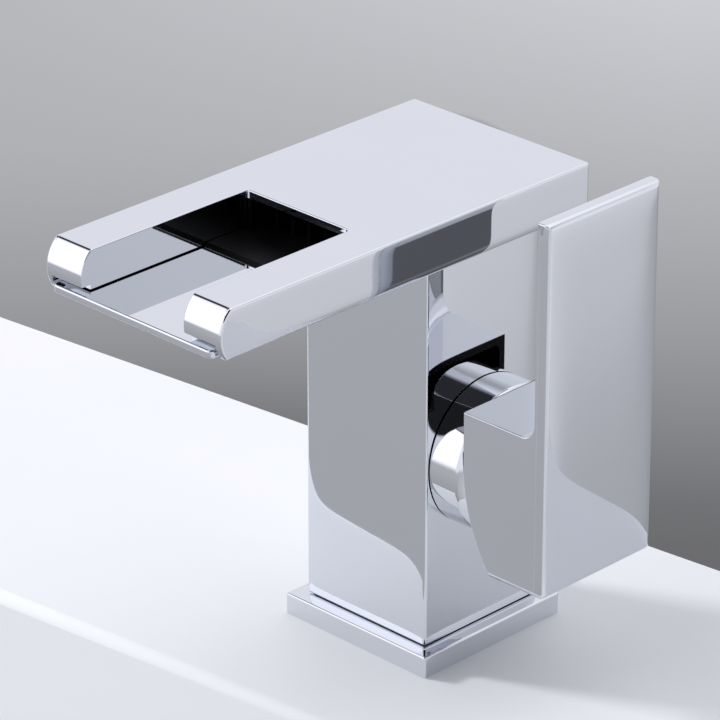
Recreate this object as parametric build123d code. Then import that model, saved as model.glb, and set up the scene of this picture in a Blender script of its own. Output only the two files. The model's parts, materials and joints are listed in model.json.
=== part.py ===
from build123d import *
import math
import os

# Waterfall basin mixer with a side lever, in millimetres.
# Origin: centre of the base plate's underside, on the deck. +X points to the
# lever, -Y to the spout's mouth, +Z up. The cartridge lies along X in the column.

# ---------------------------------------------------------------- driving sizes
BASE_SIZE = 53.4          # square base plate
BASE_TOP = 6.3
SEAL_TOP = 6.6            # the column stands on a thin black seal
FOOT_ROUND = 0.8          # rounding round the column's foot
COLUMN_SIZE = 45.0        # square column
SPOUT_BOTTOM = 122.4
SPOUT_TOP = 136.0
SPOUT_WIDTH = 64.5
SPOUT_REAR = 29.1
SPOUT_SKIN = 2.2          # thickness of the spout's top
SPOUT_WALL = 2.9
NOSE_RADIUS = 10.0        # round front of each rail
NOSE_Y = -95.7
NOSE_Z = 128.2
MOUTH_WIDTH = 37.6        # open channel between the rails
MOUTH_REAR = -47.35
TONGUE_FRONT = -106.4
TONGUE_WIDTH = 58.6
TONGUE_TOP = 124.7
RAIL_FLOOR = 125.15       # underside of a rail, above the tongue
NOTCH_TOP = 126.4         # small notch under each rail's round front
NOTCH_REAR = -102.6
GROOVE_WIDTH = 60.4       # both rail grooves, outer face to outer face
AXIS_Z = 58.9             # height of the cartridge and lever axis
PIVOT_X = 14.0            # lever's tilt pin
BALL_X = 2.3              # stem's inner ball
BALL_RADIUS = 3.0
PIN_RADIUS = 1.5
DEPTH_LEVER = 43.2        # lever width, front to back
LEVER_ROUND = 1.7         # rounding of the lever's outer face
HUB_X = 35.2
HUB_TOP = 81.1
HUB_ARC_TOP = 66.0        # where the hub's inner face starts to curve away
HUB_ARC_RADIUS = 51.0
HUB_WALL = 2.2
HOLLOW_END = 54.0
HOLLOW_BOTTOM = 41.5
PLATE_IN = 60.2
PLATE_OUT = 64.0
PLATE_BOTTOM = 35.6
PLATE_TOP = 142.7
BONNET_RADIUS = 21.3
BONNET_GAP = 0.35         # shadow gap at the bonnet's foot
DOME_RADIUS = 28.2        # dome centred on the tilt pin, inside the hub's mouth
DECK_THICKNESS = 20.0
SLIDE_FIT = 0.05          # radial clearance of a running or sliding fit
SNUG = 0.02               # radial clearance of a fixed fit

HALF_COLUMN = COLUMN_SIZE / 2
HALF_SPOUT = SPOUT_WIDTH / 2
HALF_MOUTH = MOUTH_WIDTH / 2
HALF_GROOVE = GROOVE_WIDTH / 2
HALF_LEVER = DEPTH_LEVER / 2

# cartridge stack along X, from its seat to its neck
SEAT_X = -12.5
CARTRIDGE_RADIUS = 17.5
BASE_DISC_X = -8.0        # top of the cartridge base
FIXED_DISC_X = -4.5       # top of the fixed disc
MOVING_DISC_X = -1.0      # top of the moving disc
CARRIER_X = 5.4           # top of the disc carrier
GUIDE_FLANGE_X = 9.8
SHOULDER_X = 13.5         # housing shoulder, clamped by the nut
NECK_RADIUS = 13.3
NECK_X = 21.4
HOUSING_BORE = 15.5
GUIDE_RADIUS = 12.0
DISC_OFFSET = 2.1         # how far the moving disc sits below centre when shut
NUT_RADIUS = 18.95
NUT_END = 27.4
NUT_COLLAR_RADIUS = 17.45

# waterways in the column
WATERWAY_X = -16.8
WATERWAY_RADIUS = 2.8
PORT_Y = 8.0
PORT_DROP = 5.0
OUTLET_LIFT = 9.0
OUTLET_RADIUS = 3.0
INLET_X = -6.5
INLET_Y = 8.5
INLET_RADIUS = 4.5        # M10 x 1 tapping
INLET_DEPTH = 10.0
BAY_TOP = 30.0            # ceiling of the hose bay
BAY_SIZE = 38.0
CHAMBER_FLOOR = 94.0

# spout joint
SPIGOT_RADIUS = 15.0
SPIGOT_BORE = 11.0
SPIGOT_END = 107.0
SPIGOT_SCREW_Z = 114.0

# clamp under the deck
STUD_X = 11.0
STUD_RADIUS = 4.0         # M8
STUD_TOP = 37.5
STUD_END = -60.0
DECK_HOLE_RADIUS = 17.0
PAD_THICKNESS = 3.0
WASHER_THICKNESS = 2.0
NUT_HEIGHT = 8.0
NUT_FLATS = 13.0

# lever screw, from below the hub into the stem
STEM_HALF = 4.0
STEM_END = 50.0
SCREW_X = 46.6
SCREW_RADIUS = 2.5


# -------------------------------------------------------------------- helpers
def block(x0, x1, y0, y1, z0, z1):
    """A box from its corners."""
    centre = Pos((x0 + x1) / 2, (y0 + y1) / 2, (z0 + z1) / 2)
    return centre * Box(x1 - x0, y1 - y0, z1 - z0)


def rod_z(x, y, z0, z1, radius):
    return Pos(x, y, (z0 + z1) / 2) * Cylinder(radius, z1 - z0)


def rod_x(x0, x1, radius, y=0.0, z=AXIS_Z):
    return Pos((x0 + x1) / 2, y, z) * Rot(0, 90, 0) * Cylinder(radius, x1 - x0)


def rod_y(x, y0, y1, z, radius):
    return Pos(x, (y0 + y1) / 2, z) * Rot(90, 0, 0) * Cylinder(radius, y1 - y0)


def ring_x(x, major, minor):
    """An O-ring round the cartridge axis."""
    return Pos(x, 0, AXIS_Z) * Rot(0, 90, 0) * Torus(major, minor)


def on_edges(shape, axis, low, high):
    """Edges along one axis whose centre lies between two corners."""
    picked = []
    for edge in shape.edges().filter_by(axis):
        centre = edge.center()
        inside = [low[i] <= (centre.X, centre.Y, centre.Z)[i] <= high[i] for i in range(3)]
        if all(inside):
            picked.append(edge)
    return picked


def hex_socket(across, depth):
    """A hexagonal prism along Z that stands on the origin, for a key socket."""
    return extrude(RegularPolygon(across / 2, 6, major_radius=False), depth)


# ------------------------------------------------------------------- mounting
def base_plate():
    half = BASE_SIZE / 2
    spigot = BAY_SIZE / 2 - 0.1
    plate = block(-half, half, -half, half, 0, BASE_TOP)
    plate = fillet(plate.edges().filter_by(Axis.Z), 0.6)
    plate = fillet(plate.faces().sort_by(Axis.Z)[-1].edges(), 0.5)
    collar = fillet(block(-spigot, spigot, -spigot, spigot, BASE_TOP, 9.3).edges().filter_by(Axis.Z), 3.0)
    plate = plate + collar
    plate = plate - rod_z(0, 0, -1, 10, DECK_HOLE_RADIUS)
    return plate - (rod_z(0, 0, 0, 1.5, 24.0) - rod_z(0, 0, 0, 1.5, 19.0))


def base_gasket():
    return rod_z(0, 0, 0, 1.5, 24.0) - rod_z(0, 0, 0, 1.5, 19.0)


def base_seal():
    half = HALF_COLUMN - FOOT_ROUND - 0.3
    bay = BAY_SIZE / 2
    seal = fillet(block(-half, half, -half, half, BASE_TOP, SEAL_TOP).edges().filter_by(Axis.Z), 0.5)
    return seal - fillet(block(-bay, bay, -bay, bay, BASE_TOP, SEAL_TOP).edges().filter_by(Axis.Z), 3.1)


def mounting_stud():
    stud = rod_z(STUD_X, 0, STUD_END, STUD_TOP, STUD_RADIUS)
    stud = chamfer(stud.edges().filter_by(GeomType.CIRCLE), 0.8)
    slot = block(STUD_X - 5, STUD_X + 5, -0.6, 0.6, STUD_END - 1, STUD_END + 2)
    return stud - slot


def horseshoe(top, thickness):
    """A C-shaped washer, open towards the hoses."""
    bottom = top - thickness
    disc = rod_z(0, 0, bottom, top, 25.0)
    slot = rod_z(-10, 0, bottom, top, 14.5) + block(-30, -10, -14.5, 14.5, bottom, top)
    disc = disc - slot
    return disc - rod_z(STUD_X, 0, bottom, top, STUD_RADIUS + 0.2)


def deck_pad():
    return horseshoe(-DECK_THICKNESS, PAD_THICKNESS)


def deck_washer():
    return horseshoe(-DECK_THICKNESS - PAD_THICKNESS, WASHER_THICKNESS)


def stud_nut():
    top = -DECK_THICKNESS - PAD_THICKNESS - WASHER_THICKNESS
    nut = Pos(STUD_X, 0, top - NUT_HEIGHT) * hex_socket(NUT_FLATS, NUT_HEIGHT)
    return nut - rod_z(STUD_X, 0, top - NUT_HEIGHT, top, STUD_RADIUS + SLIDE_FIT)


# --------------------------------------------------------------------- column
def waterway(side):
    """One inlet: tapping, cross drilling, riser and port to the cartridge seat."""
    y = side * PORT_Y
    port_z = AXIS_Z - PORT_DROP
    cross_z = BAY_TOP + INLET_DEPTH - WATERWAY_RADIUS
    path = rod_z(INLET_X, side * INLET_Y, BAY_TOP, BAY_TOP + INLET_DEPTH, INLET_RADIUS)
    path = path + rod_x(WATERWAY_X, INLET_X, WATERWAY_RADIUS, y, cross_z)
    path = path + rod_z(WATERWAY_X, y, cross_z - WATERWAY_RADIUS, port_z + WATERWAY_RADIUS, WATERWAY_RADIUS)
    return path + rod_x(WATERWAY_X, SEAT_X, WATERWAY_RADIUS, y, port_z)


def outlet_path():
    """Mixed water: from the seat up the back of the column and into the chamber."""
    port_z = AXIS_Z + OUTLET_LIFT
    cross_z = CHAMBER_FLOOR + OUTLET_RADIUS + 1
    path = rod_x(WATERWAY_X, SEAT_X, OUTLET_RADIUS, 0, port_z)
    path = path + rod_z(WATERWAY_X, 0, port_z - OUTLET_RADIUS, cross_z + OUTLET_RADIUS, OUTLET_RADIUS)
    path = path + rod_x(WATERWAY_X, 0, OUTLET_RADIUS, 0, cross_z)
    path = path + rod_z(0, 0, CHAMBER_FLOOR, SPIGOT_END - 1, 12.0)
    return path + rod_z(0, 0, SPIGOT_END - 1, SPOUT_BOTTOM, SPIGOT_RADIUS + SLIDE_FIT)


def body_column():
    half = HALF_COLUMN
    bay = BAY_SIZE / 2
    column = block(-half, half, -half, half, SEAL_TOP, SPOUT_BOTTOM)
    column = fillet(column.edges().filter_by(Axis.Z), 0.9)
    column = fillet(column.faces().sort_by(Axis.Z)[0].edges(), FOOT_ROUND)
    hose_bay = fillet(block(-bay, bay, -bay, bay, SEAL_TOP, BAY_TOP).edges().filter_by(Axis.Z), 3.1)
    column = column - hose_bay
    column = column - rod_z(STUD_X, 0, BAY_TOP, STUD_TOP, STUD_RADIUS + SNUG)
    column = column - rod_x(SEAT_X, SHOULDER_X + 1, CARTRIDGE_RADIUS + SLIDE_FIT)
    column = column - rod_x(SHOULDER_X, half, NUT_RADIUS + SLIDE_FIT)
    for side in (-1, 1):
        column = column - waterway(side)
    column = column - outlet_path()
    column = column - rod_y(0, 10, half, SPIGOT_SCREW_Z, SCREW_RADIUS + SNUG)
    # two blind pegs of the cartridge base sit in the seat
    for side in (-1, 1):
        column = column - rod_x(SEAT_X - 2, SEAT_X, 1.5, side * 13.5, AXIS_Z + 4)
    return column


# ---------------------------------------------------------------------- spout
def side_outline(bottom):
    """The spout seen from the side, as a face that is extruded across."""
    rise = SPOUT_TOP - NOSE_Z
    drop = NOSE_Z - bottom
    top_y = NOSE_Y - math.sqrt(NOSE_RADIUS**2 - rise**2)
    low_y = NOSE_Y - math.sqrt(NOSE_RADIUS**2 - drop**2)
    outline = Polyline((low_y, bottom), (SPOUT_REAR, bottom), (SPOUT_REAR, SPOUT_TOP), (top_y, SPOUT_TOP))
    nose = ThreePointArc((top_y, SPOUT_TOP), (NOSE_Y - NOSE_RADIUS, NOSE_Z), (low_y, bottom))
    return Plane.YZ * make_face(outline + nose)


def nose_edges(shell):
    """The arcs on both sides of each rail's round front."""
    arcs = []
    for edge in shell.edges():
        centre = edge.center()
        on_side = abs(abs(centre.X) - HALF_SPOUT) < 0.05 or abs(abs(centre.X) - HALF_MOUTH) < 0.05
        if on_side and centre.Y < NOSE_Y and edge.geom_type == GeomType.CIRCLE and edge.length > 6:
            arcs.append(edge)
    return arcs


def spout_shell():
    shell = extrude(side_outline(SPOUT_BOTTOM), HALF_SPOUT, both=True)
    top = shell.faces().sort_by(Axis.Z)[-1]
    rear = shell.faces().sort_by(Axis.Y)[-1]
    brow = top.edges().sort_by(Axis.Y)[0]
    shell = fillet([brow], 1.5)
    others = on_edges(shell, Axis.Y, (-40, -80, SPOUT_TOP - 0.1), (40, 0, SPOUT_TOP + 0.1))
    others = others + on_edges(shell, Axis.X, (-1, SPOUT_REAR - 0.1, SPOUT_TOP - 0.1), (1, 50, SPOUT_TOP + 0.1))
    shell = fillet(others + on_edges(shell, Axis.Z, (-40, SPOUT_REAR - 0.1, 0), (40, 50, 200)), 0.7)
    bottom = shell.faces().sort_by(Axis.Z)[0]
    shell = fillet(bottom.edges(), 0.5)
    # channel between the rails, right through; the tongue closes it from below
    channel = block(-HALF_MOUTH, HALF_MOUTH, -120, MOUTH_REAR, SPOUT_BOTTOM - 1, SPOUT_TOP + 1)
    channel = fillet(on_edges(channel, Axis.Z, (-30, MOUTH_REAR - 1, 0), (30, MOUTH_REAR + 1, 200)), 1.2)
    shell = shell - channel
    # this runs on round the channel's rim
    shell = fillet(nose_edges(shell), 0.35)
    wall = HALF_SPOUT - SPOUT_WALL
    rear_wall = SPOUT_REAR - SPOUT_WALL
    ceiling = SPOUT_TOP - SPOUT_SKIN
    chamber = block(-wall, wall, MOUTH_REAR + 3.4, rear_wall, SPOUT_BOTTOM - 1, ceiling)
    chamber = fillet(chamber.edges().filter_by(Axis.Z), 2.0)
    shell = shell - chamber
    shell = shell - block(-HALF_MOUTH, HALF_MOUTH, MOUTH_REAR - 2, MOUTH_REAR + 8, SPOUT_BOTTOM - 1, ceiling)
    # grooves that take the tongue's edges
    shell = shell - block(-HALF_GROOVE, HALF_GROOVE, -120, MOUTH_REAR + 6, SPOUT_BOTTOM - 1, RAIL_FLOOR)
    return shell - block(-HALF_GROOVE, HALF_GROOVE, -120, NOTCH_REAR, SPOUT_BOTTOM - 1, NOTCH_TOP)


def spout_floor():
    half = TONGUE_WIDTH / 2
    rear = SPOUT_REAR - SPOUT_WALL - SNUG
    plate = block(-half, half, TONGUE_FRONT, rear, SPOUT_BOTTOM, TONGUE_TOP)
    front = on_edges(plate, Axis.Z, (-50, TONGUE_FRONT - 1, 0), (50, TONGUE_FRONT + 1, 200))
    plate = fillet(front, 1.6)
    back = on_edges(plate, Axis.Z, (-50, rear - 1, 0), (50, rear + 1, 200))
    plate = fillet(back, 2.1)
    lip = plate.edges().filter_by(Axis.X).filter_by(lambda e: e.center().Y < TONGUE_FRONT + 1)
    plate = fillet(lip, 0.6)
    plate = plate + rod_z(0, 0, SPIGOT_END, TONGUE_TOP, SPIGOT_RADIUS)
    plate = plate - rod_z(0, 0, SPIGOT_END - 1, TONGUE_TOP + 1, SPIGOT_BORE)
    for z in (SPIGOT_END + 3.0, SPIGOT_END + 11.0):
        plate = plate - (rod_z(0, 0, z - 1.2, z + 1.2, SPIGOT_RADIUS + 1) - rod_z(0, 0, z - 1.2, z + 1.2, 13.4))
    low = SPIGOT_SCREW_Z - 2.6
    high = SPIGOT_SCREW_Z + 2.6
    return plate - (rod_z(0, 0, low, high, SPIGOT_RADIUS + 1) - rod_z(0, 0, low, high, 13.8))


def spout_orings():
    rings = []
    for z in (SPIGOT_END + 3.0, SPIGOT_END + 11.0):
        rings.append(Pos(0, 0, z) * Torus(14.22, 0.78))
    return Compound(children=rings)


def grub_screw(length):
    """A socket grub screw along Z, its tip at the origin and its key socket on top."""
    screw = Pos(0, 0, length / 2) * Cylinder(SCREW_RADIUS, length)
    screw = chamfer(screw.edges().filter_by(GeomType.CIRCLE), 0.5)
    return screw - Pos(0, 0, length - 2.5) * hex_socket(2.5, 2.6)


def spout_screw():
    tip = 13.9
    return Pos(0, tip, SPIGOT_SCREW_Z) * Rot(-90, 0, 0) * grub_screw(HALF_COLUMN - 0.5 - tip)


def flow_guide():
    """Black tray that turns the riser's water forwards and spreads it over the tongue."""
    half = HALF_MOUTH - 0.3
    front = MOUTH_REAR - 15.6
    rear = -16.0
    ceiling = SPOUT_TOP - SPOUT_SKIN - 0.1
    floor = block(-half, half, front, rear, TONGUE_TOP, TONGUE_TOP + 1.0)
    ramp = on_edges(floor, Axis.X, (-30, front - 0.1, TONGUE_TOP + 0.9), (30, front + 0.1, TONGUE_TOP + 1.1))
    guide = chamfer(ramp, 0.9, 0.95)
    for side in (-1, 1):
        wall_x = sorted((side * half, side * (half - 1.2)))
        guide = guide + block(wall_x[0], wall_x[1], MOUTH_REAR, rear, TONGUE_TOP, ceiling)
    for index in range(5):
        x = (index - 2) * 6.0
        guide = guide + block(x - 0.5, x + 0.5, MOUTH_REAR + 4, rear - 2, TONGUE_TOP, TONGUE_TOP + 6.0)
    return guide


# ------------------------------------------------------------------ cartridge
def port_holes(x0, x1, radius):
    """The two inlets and the outlet through a disc of the stack."""
    holes = rod_x(x0, x1, radius, -PORT_Y, AXIS_Z - PORT_DROP)
    holes = holes + rod_x(x0, x1, radius, PORT_Y, AXIS_Z - PORT_DROP)
    return holes + rod_x(x0, x1, radius, 0, AXIS_Z + OUTLET_LIFT)


def cartridge_base():
    base = rod_x(SEAT_X, BASE_DISC_X, CARTRIDGE_RADIUS)
    base = base - port_holes(SEAT_X - 1, BASE_DISC_X + 1, 2.5)
    base = base - port_holes(SEAT_X, SEAT_X + 1.6, 3.7)
    for side in (-1, 1):
        base = base + rod_x(SEAT_X - 1.9, SEAT_X, 1.4, side * 13.5, AXIS_Z + 4)
    return base


def port_seals():
    ring = port_holes(SEAT_X, SEAT_X + 1.6, 3.65) - port_holes(SEAT_X, SEAT_X + 1.6, 2.6)
    return Compound(children=list(ring.solids()))


def cartridge_housing():
    housing = rod_x(BASE_DISC_X, SHOULDER_X, CARTRIDGE_RADIUS) + rod_x(SHOULDER_X, NECK_X, NECK_RADIUS)
    housing = housing - rod_x(BASE_DISC_X - 1, GUIDE_FLANGE_X + SLIDE_FIT, HOUSING_BORE)
    return housing - rod_x(GUIDE_FLANGE_X, NECK_X + 1, GUIDE_RADIUS + SLIDE_FIT)


def fixed_disc():
    disc = rod_x(BASE_DISC_X, FIXED_DISC_X, HOUSING_BORE - SLIDE_FIT)
    return disc - port_holes(BASE_DISC_X - 1, FIXED_DISC_X + 1, 2.5)


def moving_disc():
    centre = AXIS_Z - DISC_OFFSET
    disc = rod_x(FIXED_DISC_X, MOVING_DISC_X, 12.4, 0, centre)
    pocket = rod_x(FIXED_DISC_X, FIXED_DISC_X + 2, 6.2, 0, centre + 2)
    return disc - pocket


def disc_carrier():
    centre = AXIS_Z - DISC_OFFSET
    carrier = rod_x(MOVING_DISC_X, CARRIER_X, 11.6, 0, centre)
    return carrier - rod_x(MOVING_DISC_X + 0.2, CARRIER_X + 1, BALL_RADIUS + 0.1)


def stem_guide():
    guide = rod_x(CARRIER_X + 0.3, GUIDE_FLANGE_X, HOUSING_BORE - SLIDE_FIT)
    guide = guide + rod_x(GUIDE_FLANGE_X, NECK_X - 1.4, GUIDE_RADIUS)
    guide = guide - block(0, NECK_X, -2.6, 2.6, AXIS_Z - 6.8, AXIS_Z + 6.8)
    return guide - rod_y(PIVOT_X, -14, 14, AXIS_Z, PIN_RADIUS + SNUG)


def stem_pin():
    return rod_y(PIVOT_X, -11, 11, AXIS_Z, PIN_RADIUS)


def lever_stem():
    stem = Pos(BALL_X, 0, AXIS_Z) * Sphere(BALL_RADIUS)
    stem = stem + rod_x(BALL_X, 9, 1.6)
    stem = stem + block(8, 24, -2.5, 2.5, AXIS_Z - 3.2, AXIS_Z + 3.2)
    head = block(23, STEM_END, -STEM_HALF, STEM_HALF, AXIS_Z - STEM_HALF, AXIS_Z + STEM_HALF)
    head = chamfer(head.edges().filter_by(Axis.X), 0.6)
    stem = stem + head
    return stem - rod_y(PIVOT_X, -5, 5, AXIS_Z, PIN_RADIUS + SLIDE_FIT)


def cartridge_nut():
    nut = rod_x(SHOULDER_X, HALF_COLUMN, NUT_RADIUS) + rod_x(HALF_COLUMN, NUT_END, NUT_COLLAR_RADIUS)
    nut = nut - rod_x(SHOULDER_X - 1, NUT_END + 1, NECK_RADIUS + SLIDE_FIT)
    nut = nut - (rod_x(24.0, 26.0, 20) - rod_x(24.0, 26.0, 16.0))
    for angle in (0, 45, 90, 135):
        slot = Pos(0, 0, AXIS_Z) * Rot(angle, 0, 0) * Box(2.4, 60, 3.0)
        nut = nut - Pos(NUT_END, 0, 0) * slot
    return nut


def bonnet_oring():
    return ring_x(25.0, 16.8, 0.74)


def bonnet():
    """Chrome ring with a dome that stays an even distance from the tilting hub."""
    opening = 14.4
    edge = PIVOT_X + math.sqrt(DOME_RADIUS**2 - BONNET_RADIUS**2)
    outer_end = PIVOT_X + math.sqrt(DOME_RADIUS**2 - opening**2)
    inner_radius = DOME_RADIUS - 1.6
    inner_end = PIVOT_X + math.sqrt(inner_radius**2 - opening**2)
    bore = NUT_COLLAR_RADIUS + SLIDE_FIT + 0.1
    inner_start = PIVOT_X + math.sqrt(inner_radius**2 - bore**2)

    def at(x, radius):
        return (x, AXIS_Z + radius)

    def dome_point(radius, r0, r1):
        mid = (r0 + r1) / 2
        return at(PIVOT_X + math.sqrt(radius**2 - mid**2), mid)

    foot = BONNET_RADIUS - 0.5
    side = Polyline(
        at(inner_start, bore), at(HALF_COLUMN, bore), at(HALF_COLUMN, foot),
        at(HALF_COLUMN + BONNET_GAP, foot), at(HALF_COLUMN + BONNET_GAP, BONNET_RADIUS),
        at(edge, BONNET_RADIUS),
    )
    dome = ThreePointArc(
        at(edge, BONNET_RADIUS), dome_point(DOME_RADIUS, BONNET_RADIUS, opening), at(outer_end, opening),
    )
    lip = Line(at(outer_end, opening), at(inner_end, opening))
    inside = ThreePointArc(
        at(inner_end, opening), dome_point(inner_radius, opening, bore), at(inner_start, bore),
    )
    profile = Plane.XZ * make_face(side + dome + lip + inside)
    ring = revolve(profile, Axis((0, 0, AXIS_Z), (1, 0, 0)), 360)
    crease = ring.edges().filter_by(GeomType.CIRCLE).filter_by(lambda e: abs(e.center().X - edge) < 0.1)
    return fillet(crease, 1.2)


# ---------------------------------------------------------------------- lever
def hub_outline():
    """Hub and plate seen from the front: an L with a curved lower inner corner."""
    arc_x = HUB_X + HUB_ARC_RADIUS

    def edge_x(z):
        return arc_x - math.sqrt(HUB_ARC_RADIUS**2 - (HUB_ARC_TOP - z) ** 2)

    mid = (HUB_ARC_TOP + PLATE_BOTTOM) / 2
    curve = ThreePointArc(
        (HUB_X, HUB_ARC_TOP), (edge_x(mid), mid), (edge_x(PLATE_BOTTOM), PLATE_BOTTOM),
    )
    rest = Polyline(
        (edge_x(PLATE_BOTTOM), PLATE_BOTTOM), (PLATE_OUT, PLATE_BOTTOM), (PLATE_OUT, PLATE_TOP),
        (PLATE_IN, PLATE_TOP), (PLATE_IN, HUB_TOP), (HUB_X, HUB_TOP), (HUB_X, HUB_ARC_TOP),
    )
    return Plane.XZ * make_face(curve + rest)


def lever_handle():
    lever = extrude(hub_outline(), HALF_LEVER, both=True)
    corner = on_edges(lever, Axis.Y, (PLATE_IN - 0.1, -1, HUB_TOP - 0.1), (PLATE_IN + 0.1, 1, HUB_TOP + 0.1))
    lever = fillet(corner, 4.5)
    outer_face = lever.faces().sort_by(Axis.X)[-1]
    bottom_face = lever.faces().sort_by(Axis.Z)[0]
    lever = fillet(list(outer_face.edges()) + list(bottom_face.edges().filter_by(Axis.X)), LEVER_ROUND)
    sides = lever.faces().sort_by(Axis.Y)
    lever = fillet(list(sides[0].edges()) + list(sides[-1].edges()), 0.35)
    # the hub is a thin-walled hollow with a boss for the stem and one for its screw
    wall = HALF_LEVER - HUB_WALL
    hollow = block(HUB_X - 1, HOLLOW_END, -wall, wall, HOLLOW_BOTTOM, HUB_TOP - HUB_WALL)
    hollow = fillet(hollow.edges().filter_by(Axis.X), 2.0)
    hollow = hollow - rod_x(42.6, HOLLOW_END, 8.0)
    hollow = hollow - rod_z(SCREW_X, 0, HOLLOW_BOTTOM, AXIS_Z, 4.0)
    lever = lever - hollow
    half = STEM_HALF + SNUG
    lever = lever - block(40, STEM_END + 0.4, -half, half, AXIS_Z - half, AXIS_Z + half)
    lever = lever - rod_z(SCREW_X, 0, PLATE_BOTTOM - 1, AXIS_Z, SCREW_RADIUS + SNUG)
    return lever - rod_z(SCREW_X, 0, PLATE_BOTTOM - 1, PLATE_BOTTOM + 2.4, 3.4)


def lever_screw():
    length = 9.0
    return Pos(SCREW_X, 0, AXIS_Z - STEM_HALF) * Rot(180, 0, 0) * grub_screw(length)


def screw_cap():
    cap = rod_z(SCREW_X, 0, PLATE_BOTTOM + 0.1, PLATE_BOTTOM + 2.4, 3.4 - SNUG)
    return cap + rod_z(SCREW_X, 0, PLATE_BOTTOM + 2.4, PLATE_BOTTOM + 4.4, SCREW_RADIUS - SLIDE_FIT)


NODES = {
    "base_plate": base_plate,
    "base_gasket": base_gasket,
    "base_seal": base_seal,
    "mounting_stud": mounting_stud,
    "deck_pad": deck_pad,
    "deck_washer": deck_washer,
    "stud_nut": stud_nut,
    "body_column": body_column,
    "spout_shell": spout_shell,
    "spout_floor": spout_floor,
    "spout_orings": spout_orings,
    "spout_screw": spout_screw,
    "flow_guide": flow_guide,
    "cartridge_base": cartridge_base,
    "port_seals": port_seals,
    "cartridge_housing": cartridge_housing,
    "fixed_disc": fixed_disc,
    "moving_disc": moving_disc,
    "disc_carrier": disc_carrier,
    "stem_guide": stem_guide,
    "stem_pin": stem_pin,
    "lever_stem": lever_stem,
    "cartridge_nut": cartridge_nut,
    "bonnet_oring": bonnet_oring,
    "bonnet": bonnet,
    "lever_handle": lever_handle,
    "lever_screw": lever_screw,
    "screw_cap": screw_cap,
}

os.makedirs("parts", exist_ok=True)
for name, make in NODES.items():
    export_step(make(), f"parts/{name}.step")
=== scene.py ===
import json
import math

import bmesh
import bpy
from mathutils import Matrix, Vector


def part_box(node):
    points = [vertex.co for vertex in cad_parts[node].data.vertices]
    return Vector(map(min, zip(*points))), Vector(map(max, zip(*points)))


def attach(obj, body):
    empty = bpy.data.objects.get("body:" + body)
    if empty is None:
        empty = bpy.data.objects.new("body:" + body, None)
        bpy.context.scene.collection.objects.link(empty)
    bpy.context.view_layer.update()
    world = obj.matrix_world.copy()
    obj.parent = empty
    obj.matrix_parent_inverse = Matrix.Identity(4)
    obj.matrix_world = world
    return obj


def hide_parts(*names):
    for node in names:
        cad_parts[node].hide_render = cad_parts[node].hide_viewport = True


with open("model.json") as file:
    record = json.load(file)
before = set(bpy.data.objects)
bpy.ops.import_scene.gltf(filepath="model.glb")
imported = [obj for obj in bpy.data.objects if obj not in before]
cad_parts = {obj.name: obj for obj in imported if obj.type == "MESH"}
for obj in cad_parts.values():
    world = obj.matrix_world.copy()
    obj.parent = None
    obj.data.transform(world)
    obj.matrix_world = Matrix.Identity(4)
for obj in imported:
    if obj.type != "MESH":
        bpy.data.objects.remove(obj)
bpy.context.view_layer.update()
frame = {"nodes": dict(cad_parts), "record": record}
nodes = frame["nodes"]


# ------------------------------------------------------------- shader helpers
class Tree:
    """Adds shader nodes to one tree and joins them."""

    def __init__(self, tree):
        self.tree = tree

    def add(self, kind, **settings):
        node = self.tree.nodes.new(kind)
        for key, value in settings.items():
            setattr(node, key, value)
        return node

    def join(self, output, socket):
        self.tree.links.new(output, socket)

    def feed(self, socket, value):
        """A socket takes a number, a colour or another node's output."""
        if isinstance(value, bpy.types.NodeSocket):
            self.join(value, socket)
        elif isinstance(value, tuple):
            socket.default_value = (*value, 1.0)
        else:
            socket.default_value = value

    def math(self, operation, a, b=0.0, clamp=False):
        node = self.add("ShaderNodeMath", operation=operation, use_clamp=clamp)
        self.feed(node.inputs[0], a)
        self.feed(node.inputs[1], b)
        return node.outputs[0]

    def axes(self, vector):
        node = self.add("ShaderNodeSeparateXYZ")
        self.join(vector, node.inputs[0])
        return node.outputs

    def noise(self, vector, scale, detail=3.0, roughness=0.5, stretch=(1, 1, 1)):
        spread = self.add("ShaderNodeMapping")
        spread.inputs["Scale"].default_value = stretch
        self.join(vector, spread.inputs["Vector"])
        node = self.add("ShaderNodeTexNoise")
        self.join(spread.outputs[0], node.inputs["Vector"])
        node.inputs["Scale"].default_value = scale
        node.inputs["Detail"].default_value = detail
        node.inputs["Roughness"].default_value = roughness
        return node.outputs["Fac"]

    def spread(self, value, low, high, start=0.0, end=1.0, interpolation="LINEAR"):
        """Takes the range start..end to low..high."""
        node = self.add("ShaderNodeMapRange", interpolation_type=interpolation)
        self.join(value, node.inputs["Value"])
        node.inputs["From Min"].default_value = start
        node.inputs["From Max"].default_value = end
        node.inputs["To Min"].default_value = low
        node.inputs["To Max"].default_value = high
        return node.outputs["Result"]

    def ramp(self, value, stops):
        node = self.add("ShaderNodeValToRGB")
        elements = node.color_ramp.elements
        while len(elements) > 1:
            elements.remove(elements[-1])
        for index, (place, colour) in enumerate(stops):
            element = elements[0] if index == 0 else elements.new(place)
            element.position = place
            element.color = (*colour, 1.0)
        self.join(value, node.inputs[0])
        return node.outputs["Color"]

    def blend(self, factor, a, b):
        node = self.add("ShaderNodeMix", data_type="RGBA")
        self.feed(node.inputs["Factor"], factor)
        for socket, value in ((node.inputs["A"], a), (node.inputs["B"], b)):
            self.feed(socket, value)
        return node.outputs["Result"]


def material(name, metallic, **sockets):
    """A new material with its tree helper, its shader and its object coordinates."""
    made = bpy.data.materials.new(name)
    made.use_nodes = True
    tree = Tree(made.node_tree)
    shader = made.node_tree.nodes["Principled BSDF"]
    shader.inputs["Metallic"].default_value = metallic
    for socket, value in sockets.items():
        shader.inputs[socket.replace("_", " ")].default_value = value
    place = tree.add("ShaderNodeTexCoord").outputs["Object"]
    return made, tree, shader, place


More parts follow.
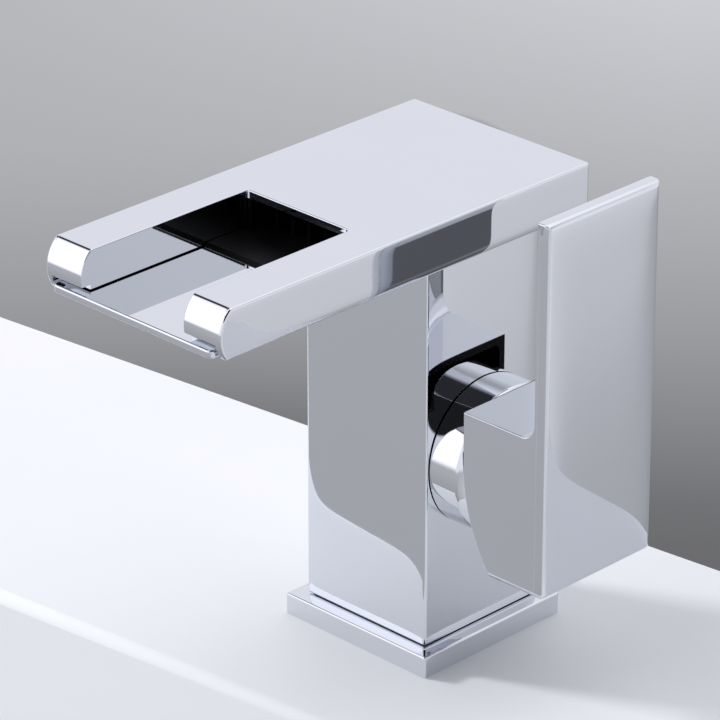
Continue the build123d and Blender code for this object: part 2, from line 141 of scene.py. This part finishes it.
def bump(tree, shader, height, distance=1.0, strength=1.0):
    """Tilts the surface by a height in metres, times the distance."""
    node = tree.add("ShaderNodeBump")
    node.inputs["Strength"].default_value = strength
    node.inputs["Distance"].default_value = distance
    tree.join(height, node.inputs["Height"])
    tree.join(node.outputs["Normal"], shader.inputs["Normal"])


# ------------------------------------------------------------------ materials
ROLL_TILT = 0.14          # tilt of a polished face at its edge, in radians
ROLL_REACH = 0.0025       # how fast that tilt dies away, in metres
FINE_REACH = 0.0008       # the same on the spout's crisp sides
POLISH_WAVE = 6e-6        # height of the long waves that polishing leaves
POLISH_ROUGH = (0.012, 0.04)
CHROME_DARK = (0.729, 0.747, 0.790)
CHROME_LIGHT = (0.758, 0.775, 0.818)
# painted shade: near black, standing for the shade inside the hub's hollow and rim and the
# bonnet's foot
PAINTED_SHADE_BLACK = (0.012, 0.011, 0.0115)
CAST_ROUGH = 0.45         # added to the polish's roughness
CAST_GRAIN = 0.00006      # height of the casting's grain
MASK_FADE = 0.00002       # width of a mask's edge
LINE_HEIGHT = 0.00004     # height of brushed lines
SPECKLE_HEIGHT = 0.00003  # height of a moulding's grain
MIDDLE = (0.3, 0.7)       # the range that most of a noise lies in

# Noise scales, in turns per metre.
TONE_SCALE = 22.0
WAVE_SCALE = 55.0
CLOUD_SCALE = 60.0
FILM_SCALE = 90.0
CAST_SCALE = 700.0
LINE_SCALE = 900.0
LEDGE_SCALE = 9.0


def inside(tree, place, low, high):
    """1 within a box and 0 outside it."""
    result = 1.0
    for axis, output in enumerate(tree.axes(place)):
        for limit, sign in ((low[axis], 1.0), (high[axis], -1.0)):
            past = tree.math("SUBTRACT", output, limit)
            depth = tree.math("MULTIPLY", past, sign / MASK_FADE)
            result = tree.math("MINIMUM", depth, result)
    return tree.math("MAXIMUM", result, 0.0, clamp=True)


def edge_roll(tree, place, low, high, weights, reach):
    """Height of a buffed face: it falls away towards each edge of the box."""
    total = 0.0
    for axis, output in enumerate(tree.axes(place)):
        if not weights[axis]:
            continue
        for limit, sign in ((low[axis], -1.0), (high[axis], 1.0)):
            inward = tree.math("MULTIPLY", tree.math("SUBTRACT", limit, output), sign)
            depth = tree.math("DIVIDE", tree.math("MAXIMUM", inward, 0.0), -reach)
            fall = tree.math("EXPONENT", depth)
            height = tree.math("MULTIPLY", fall, -ROLL_TILT * reach * weights[axis])
            total = tree.math("ADD", height, total)
    return total


def chrome(name, low=None, high=None, weights=(1, 1, 1), skin=None, painted_shade_boxes=(), reach=ROLL_REACH):
    """Polished chrome. Edges roll off on the box from low to high, only outside the box
    skin when it is given, and inside the boxes painted_shade_boxes the metal is rough like a
    casting and its colour is painted near black as shade."""
    made, tree, shader, place = material(name, 1.0)
    tone = tree.noise(place, TONE_SCALE, 2.0)
    colour = tree.blend(tone, CHROME_DARK, CHROME_LIGHT)
    film = tree.noise(place, FILM_SCALE, 4.0, 0.6, (1.0, 1.0, 0.35))
    rough = tree.spread(film, *POLISH_ROUGH, *MIDDLE)
    height = tree.math("MULTIPLY", tree.noise(place, WAVE_SCALE, 1.0), POLISH_WAVE)
    if low is not None:
        roll = edge_roll(tree, place, low, high, weights, reach)
        if skin:
            outside = tree.math("SUBTRACT", 1.0, inside(tree, place, *skin))
            roll = tree.math("MULTIPLY", roll, outside)
        height = tree.math("ADD", height, roll)
    if painted_shade_boxes:
        painted_shade_mask = 0.0
        for box in painted_shade_boxes:
            painted_shade_mask = tree.math("MAXIMUM", inside(tree, place, *box), painted_shade_mask)
        # painted shade: inside those boxes the colour is painted near black
        colour = tree.blend(painted_shade_mask, colour, PAINTED_SHADE_BLACK)
        grain = tree.math("MULTIPLY", tree.noise(place, CAST_SCALE, 4.0, 0.6), painted_shade_mask)
        rough = tree.math("ADD", rough, tree.math("MULTIPLY", painted_shade_mask, CAST_ROUGH))
        height = tree.math("ADD", height, tree.math("MULTIPLY", grain, CAST_GRAIN))
    tree.join(colour, shader.inputs["Base Color"])
    tree.join(rough, shader.inputs["Roughness"])
    bump(tree, shader, height)
    return made


def brushed(name, dark, light, rough, stretch):
    """Turned or drawn metal with fine lines along one direction."""
    made, tree, shader, place = material(name, 1.0)
    lines = tree.noise(place, LINE_SCALE, 5.0, 0.65, stretch)
    tree.join(tree.blend(lines, dark, light), shader.inputs["Base Color"])
    tree.join(tree.spread(lines, *rough, *MIDDLE), shader.inputs["Roughness"])
    bump(tree, shader, lines, LINE_HEIGHT, 0.5)
    return made


def moulded(name, dark, light, rough, grain, **sockets):
    """Moulded rubber, plastic or fired ceramic with a fine grain."""
    made, tree, shader, place = material(name, 0.0, **sockets)
    cloud = tree.noise(place, CLOUD_SCALE, 3.0)
    tree.join(tree.blend(cloud, dark, light), shader.inputs["Base Color"])
    speckle = tree.noise(place, grain, 4.0, 0.6)
    tree.join(tree.spread(speckle, *rough, *MIDDLE), shader.inputs["Roughness"])
    bump(tree, shader, speckle, SPECKLE_HEIGHT, 0.6)
    return made


def box_chrome(node, weights, skin=None, painted_shade_boxes=(), reach=ROLL_REACH):
    low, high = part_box(node)
    return chrome("chrome_" + node, low, high, weights, skin, painted_shade_boxes, reach)


def paint(made, *names):
    for name in names:
        for slot in nodes[name].material_slots:
            slot.material = made


BY_SLOT = {
    "chrome": chrome("chrome"),
    "brass": brushed(
        "brass", (0.62, 0.43, 0.16), (0.83, 0.63, 0.30), (0.18, 0.4), (1.0, 0.06, 0.06)),
    "steel": brushed(
        "steel", (0.42, 0.42, 0.43), (0.66, 0.66, 0.67), (0.2, 0.42), (1.0, 1.0, 0.08)),
    "rubber": moulded(
        "rubber", (0.012, 0.012, 0.013), (0.03, 0.03, 0.031), (0.55, 0.8), 2200.0),
    "black_plastic": moulded(
        "black_plastic", (0.0015, 0.0015, 0.002), (0.004, 0.004, 0.0045), (0.3, 0.5), 1500.0,
        Specular_IOR_Level=0.06),
    "cartridge_plastic": moulded(
        "cartridge_plastic", (0.55, 0.56, 0.55), (0.72, 0.73, 0.72), (0.35, 0.5), 1200.0),
    "ceramic": moulded(
        "ceramic", (0.80, 0.77, 0.71), (0.90, 0.88, 0.83), (0.06, 0.16), 2600.0,
        Coat_Weight=0.4),
    "cap_plastic": moulded(
        "cap_plastic", (0.30, 0.31, 0.33), (0.40, 0.41, 0.43), (0.2, 0.34), 1500.0),
}
for item in frame["record"]["subparts"]:
    paint(BY_SLOT[item["material_slot"]], item["node"])

# Boxes, lowest and highest corner. Polish rolls off only outside the first two, on the
# spout's sides and on the plate's outer face. In the others the metal is rough like a casting
# and its colour is painted near black, as painted shade in the hub's hollow and rim and the
# bonnet's foot.
FAR = 0.2
SPOUT_SKIN = 0.00125
PLATE_SKIN = 0.0028
spout_low, spout_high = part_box("spout_shell")
_, lever_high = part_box("lever_handle")
SPOUT_CORE = ((spout_low.x + SPOUT_SKIN, -FAR, 0.0), (spout_high.x - SPOUT_SKIN, FAR, FAR))
PLATE_INSIDE = ((0.0, -FAR, 0.0), (lever_high.x - PLATE_SKIN, FAR, FAR))
HUB_HOLLOW = ((0.0345, -0.01948, 0.04142), (0.05408, 0.01948, 0.07898))
HUB_RIM = ((0.0345, -0.0217, 0.0354), (0.03545, 0.0217, 0.0812))    # the hub's open end
BONNET_FOOT = ((0.0, -0.0209, 0.0380), (0.02288, 0.0209, 0.0798))   # inside of its rim

paint(box_chrome("body_column", (1, 1, 0)), "body_column")
paint(box_chrome("spout_shell", (0, 0, 1), SPOUT_CORE, reach=FINE_REACH), "spout_shell")
paint(box_chrome("base_plate", (1, 1, 0.3)), "base_plate")
paint(
    box_chrome("lever_handle", (0.4, 1, 1), PLATE_INSIDE, (HUB_HOLLOW, HUB_RIM)),
    "lever_handle")
paint(chrome("chrome_bonnet", painted_shade_boxes=(BONNET_FOOT,)), "bonnet")


# -------------------------------------------------------------- turned pieces
def turned(name, node, body, slot, rings, columns, hollow):
    """A piece made of rings round a node's upright middle, in place of that node.
    Each ring gives its radius and height at an angle."""
    low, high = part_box(node)
    middle = (low + high) / 2
    mesh = bmesh.new()
    loops = []
    for ring in rings:
        loop = []
        for column in range(columns):
            angle = 2 * math.pi * column / columns
            radius, height = ring(angle)
            x = middle.x + radius * math.cos(angle)
            y = middle.y + radius * math.sin(angle)
            loop.append(mesh.verts.new((x, y, height)))
        loops.append(loop)
    pairs = list(zip(loops, loops[1:]))
    if hollow:
        pairs.append((loops[-1], loops[0]))
    else:
        mesh.faces.new(loops[0])
        mesh.faces.new(loops[-1])
    for lower, upper in pairs:
        for column in range(columns):
            after = (column + 1) % columns
            mesh.faces.new((lower[column], lower[after], upper[after], upper[column]))
    made = finished(name, mesh, BY_SLOT[slot])
    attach(made, body)
    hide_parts(node)
    return made


def finished(name, mesh, coat):
    """The object of a bmesh, with its faces turned outwards."""
    bmesh.ops.recalc_face_normals(mesh, faces=mesh.faces)
    data = bpy.data.meshes.new(name)
    mesh.to_mesh(data)
    mesh.free()
    data.materials.append(coat)
    made = bpy.data.objects.new(name, data)
    bpy.context.scene.collection.objects.link(made)
    return made


THREAD_PITCH = 0.00125
THREAD_DEPTH = 0.0007
RINGS_PER_TURN = 8
STUD_COLUMNS = 36
STUD_CHAMFER = 0.0008


def threaded_stud():
    """The M8 stud with its thread, chamfered at both ends."""
    low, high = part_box("mounting_stud")
    outer = (high.x - low.x) / 2
    core = outer - THREAD_DEPTH
    count = round((high.z - low.z) / THREAD_PITCH * RINGS_PER_TURN)

    def ring_at(index):
        height = low.z + (high.z - low.z) * index / count
        tip = outer - STUD_CHAMFER + min(height - low.z, high.z - height)

        def ring(angle):
            phase = 2 * math.pi * height / THREAD_PITCH - angle
            crest = 0.5 + 0.5 * math.cos(phase)
            return min(core + THREAD_DEPTH * crest, tip), height

        return ring

    rings = [ring_at(index) for index in range(count + 1)]
    stud = turned("threaded_stud", "mounting_stud", "faucet", "steel", rings, STUD_COLUMNS, False)
    for face in stud.data.polygons:
        face.use_smooth = len(face.vertices) == 4


NUT_BORE = 0.00405
NUT_BORE_CHAMFER = 0.0004
NUT_LAND = 0.0002         # how far the flat end stays inside the flats
NUT_SLOPE = math.tan(math.radians(30))
NUT_COLUMNS = 96


def hex_nut():
    """The stud's nut, with its corners cut back by a 30 degree chamfer."""
    low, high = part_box("stud_nut")
    apothem = (high.y - low.y) / 2
    land = apothem - NUT_LAND
    mouth = NUT_BORE + NUT_BORE_CHAMFER

    def level(radius, height):
        return lambda angle: (radius, height)

    def corner(angle):
        return apothem / math.cos((angle + math.pi / 2) % (math.pi / 3) - math.pi / 6)

    def flat(height, sign):
        def ring(angle):
            radius = corner(angle)
            return radius, height - sign * (radius - land) * NUT_SLOPE
        return ring

    rings = [
        level(NUT_BORE, high.z - NUT_BORE_CHAMFER), level(mouth, high.z),
        level(land, high.z), flat(high.z, 1),
        flat(low.z, -1), level(land, low.z),
        level(mouth, low.z), level(NUT_BORE, low.z + NUT_BORE_CHAMFER),
    ]
    turned("hex_nut", "stud_nut", "clamp_nut", "brass", rings, NUT_COLUMNS, True)


threaded_stud()
hex_nut()


# ---------------------------------------------------------------------- stage
LEDGE_LENGTH = 1.1
LEDGE_TURN = math.radians(6.2)      # the ledge is not quite square to the faucet
LEDGE_FRONT = -0.0655
LEDGE_REAR = 0.0715
LEDGE_THICK = 0.020
LEDGE_APRON = 0.090
APRON_THICK = 0.016
LEDGE_ROUND = 0.003
ROUND_STEPS = 12
LARGEST_SMOOTH = 0.003              # in square metres: the flat faces are larger
LEDGE_DARK = (0.79, 0.80, 0.825)
LEDGE_LIGHT = (0.825, 0.835, 0.86)
# painted light: the apron's colour is paler than the top's to stand in for light on its front
# face
APRON_PAINTED_LIGHT = (0.90, 0.91, 0.93)
APRON_FADE = 0.002
LEDGE_ROUGH = (0.5, 0.62)


def ledge_finish():
    """Plain white; the apron is painted a little paler than the top, as painted light on its
    front face.
    """
    made, tree, shader, place = material("ledge_white", 0.0)
    cloud = tree.noise(place, LEDGE_SCALE, 3.0)
    white = tree.blend(cloud, LEDGE_DARK, LEDGE_LIGHT)
    height = tree.axes(place)[2]
    top = tree.spread(height, 0.0, 1.0, -LEDGE_ROUND, APRON_FADE - LEDGE_ROUND)
    # painted light: below the rounded edge the apron is painted paler
    tree.join(tree.blend(top, APRON_PAINTED_LIGHT, white), shader.inputs["Base Color"])
    tree.join(tree.spread(cloud, *LEDGE_ROUGH), shader.inputs["Roughness"])
    return made


def ledge():
    """A pale ledge with a rounded front and a turned-down apron, as one extrusion."""
    apron_back = LEDGE_FRONT + APRON_THICK
    outline = [
        (LEDGE_REAR, 0.0), (LEDGE_REAR, -LEDGE_THICK),
        (apron_back, -LEDGE_THICK), (apron_back, -LEDGE_APRON),
        (LEDGE_FRONT, -LEDGE_APRON),
    ]
    for step in range(ROUND_STEPS + 1):
        angle = math.pi - step * math.pi / 2 / ROUND_STEPS
        y = LEDGE_FRONT + LEDGE_ROUND + LEDGE_ROUND * math.cos(angle)
        z = -LEDGE_ROUND + LEDGE_ROUND * math.sin(angle)
        outline.append((y, z))
    mesh = bmesh.new()
    ends = []
    for x in (-LEDGE_LENGTH / 2, LEDGE_LENGTH / 2):
        ends.append([mesh.verts.new((x, y, z)) for y, z in outline])
    for index in range(len(outline)):
        after = (index + 1) % len(outline)
        mesh.faces.new((ends[0][index], ends[0][after], ends[1][after], ends[1][index]))
    mesh.faces.new(ends[0])
    mesh.faces.new(reversed(ends[1]))
    made = finished("ledge", mesh, ledge_finish())
    made.data.transform(Matrix.Rotation(LEDGE_TURN, 4, "Z"))
    for face in made.data.polygons:
        face.use_smooth = len(face.vertices) == 4 and face.area < LARGEST_SMOOTH
    return made


floor = ledge()


# --------------------------------------------------------------------- studio
# The room's grey levels: (height of the direction, from -1 below to 1 above, level).
ROOM = (
    (-1.0, 0.34), (-0.5, 0.53), (-0.3, 0.60), (-0.24, 0.61), (-0.16, 1.1), (0.25, 1.15),
    (0.5, 1.1), (1.0, 1.5),
)
WALL_LEFT = (
    (-0.49, 0.113), (-0.455, 0.136), (-0.44, 0.17), (-0.424, 0.33), (-0.404, 0.42),
    (-0.385, 0.50), (-0.358, 0.545), (0.0, 0.904),
)
WALL_RIGHT = (
    (-0.49, 0.136), (-0.455, 0.186), (-0.42, 0.38), (-0.38, 0.575), (-0.35, 0.71), (0.0, 0.96),
)
# The same for the room's right side, where the levels run up a slant.
SIDE = (
    (-0.55, 0.45), (-0.455, 0.57), (-0.438, 0.63), (-0.423, 0.72), (-0.407, 0.77),
    (-0.39, 0.81), (-0.2, 1.0), (-0.1, 1.1), (0.35, 1.08), (0.47, 0.92), (0.55, 0.72),
    (0.65, 0.5),
)
SIDE_SLANT = (0.468, -0.421)        # how much the slant rises along x and y
WALL_WAY = (-0.70, 0.70, -0.30)     # direction of the wall's middle
WALL_ACROSS = (0.704, 0.710)        # along the wall, from left to right
WALL_BLEND = 0.075
SIDE_BEARING = (43, -8)
HAZE = (1.04, 1.04, 1.11)
COOL = 0.03                         # how much bluer than neutral the greys are
ROOM_STRENGTH = 0.885

# Soft areas in the room: (bearing, elevation), full within and gone beyond, level.
AREAS = (
    ((-134, 15), 22, 28, 1.6),              # window
    ((98, -27), 24, 40, 0.86),              # low on the right
    ((130, 46), 28, 33, 0.02),              # dark corner, high in front on the right
    ((-84, 52), 12, 20, 0.05),              # dark gap, high on the left
    ((-43.75, -23.85), 1.6, 1.78, 0.155),   # behind the faucet, seen only in its chrome
)


def grey(value):
    return (value * (1 - COOL), value * (1 - COOL * 0.7), value * (1 + COOL))


def bearing(azimuth, elevation):
    """A direction from degrees clockwise from +Y and above the horizon."""
    turn, rise = math.radians(azimuth), math.radians(elevation)
    return (math.sin(turn) * math.cos(rise), math.cos(turn) * math.cos(rise), math.sin(rise))


def studio():
    """A soft grey room, paler above: a wall behind, a window and a few dark areas."""
    world = bpy.data.worlds.new("studio")
    bpy.context.scene.world = world
    world.use_nodes = True
    tree = Tree(world.node_tree)
    background = world.node_tree.nodes["Background"]
    way = tree.add("ShaderNodeTexCoord").outputs["Generated"]
    x, y, z = tree.axes(way)

    def towards(direction, near, far):
        """1 close to a direction, falling to 0; near and far are angles in degrees."""
        dot = tree.add("ShaderNodeVectorMath", operation="DOT_PRODUCT")
        tree.join(way, dot.inputs[0])
        dot.inputs[1].default_value = Vector(direction).normalized()
        start, end = math.cos(math.radians(far)), math.cos(math.radians(near))
        return tree.spread(dot.outputs["Value"], 0.0, 1.0, start, end, "SMOOTHSTEP")

    def along(weight_x, weight_y):
        return tree.math(
            "ADD", tree.math("MULTIPLY", x, weight_x), tree.math("MULTIPLY", y, weight_y))

    def by_height(stops, rise=z):
        """A ramp up the room, by the height of the direction."""
        places = [((at + 1) / 2, grey(level)) for at, level in stops]
        return tree.ramp(tree.spread(rise, 0.0, 1.0, -1.0, 1.0), places)

    left_to_right = tree.spread(along(*WALL_ACROSS), 0.0, 1.0, -WALL_BLEND, WALL_BLEND)
    wall = tree.blend(left_to_right, by_height(WALL_LEFT), by_height(WALL_RIGHT))
    side = by_height(SIDE, tree.math("ADD", z, along(*SIDE_SLANT)))
    colour = tree.blend(towards(WALL_WAY, 30, 45), by_height(ROOM), wall)
    colour = tree.blend(towards(bearing(*SIDE_BEARING), 40, 55), colour, side)
    colour = tree.blend(towards(bearing(-46, 26), 16, 34), colour, HAZE)
    for place, near, far, level in AREAS:
        colour = tree.blend(towards(bearing(*place), near, far), colour, grey(level))
    tree.join(colour, background.inputs["Color"])
    background.inputs["Strength"].default_value = ROOM_STRENGTH


LIGHT_PLACE = (-1.91, -0.90, 1.42)
LIGHT_AIM = (0, -0.03, 0.07)
LIGHT_SIZE = (0.32, 0.40)
LIGHT_RADIANCE = 84.0


def soft_light():
    """One soft light from the left, which chrome doesn't mirror."""
    width, height = LIGHT_SIZE
    light = bpy.data.lights.new("key", "AREA")
    light.shape = "RECTANGLE"
    light.size = width
    light.size_y = height
    light.energy = LIGHT_RADIANCE * math.pi * width * height
    made = bpy.data.objects.new("key", light)
    made.location = LIGHT_PLACE
    aim = Vector(LIGHT_AIM) - Vector(LIGHT_PLACE)
    made.rotation_euler = aim.to_track_quat("-Z", "Y").to_euler()
    made.visible_camera = False
    made.visible_glossy = False
    bpy.context.scene.collection.objects.link(made)


CAMERA_PLACE = (0.772515, -0.803264, 0.602115)
CAMERA_TURN = math.radians(44.77)   # from +Y towards -X
CAMERA_FALL = math.radians(25.22)   # below the horizon
CAMERA_LENS = 228.2                 # in millimetres, on a 36 mm sensor


def camera():
    lens = bpy.data.cameras.new("camera")
    lens.sensor_width = 36.0
    lens.lens = CAMERA_LENS
    lens.clip_start = 0.01
    lens.clip_end = 100.0
    made = bpy.data.objects.new("camera", lens)
    flat = math.cos(CAMERA_FALL)
    ahead = Vector((
        -math.sin(CAMERA_TURN) * flat, math.cos(CAMERA_TURN) * flat, -math.sin(CAMERA_FALL)))
    right = Vector((math.cos(CAMERA_TURN), math.sin(CAMERA_TURN), 0.0))
    up = right.cross(ahead)
    made.matrix_world = Matrix.Translation(CAMERA_PLACE) @ Matrix((
        (right.x, up.x, -ahead.x, 0.0),
        (right.y, up.y, -ahead.y, 0.0),
        (right.z, up.z, -ahead.z, 0.0),
        (0.0, 0.0, 0.0, 1.0),
    ))
    bpy.context.scene.collection.objects.link(made)
    bpy.context.scene.camera = made


studio()
soft_light()
camera()
bpy.context.scene.view_settings.view_transform = "Standard"
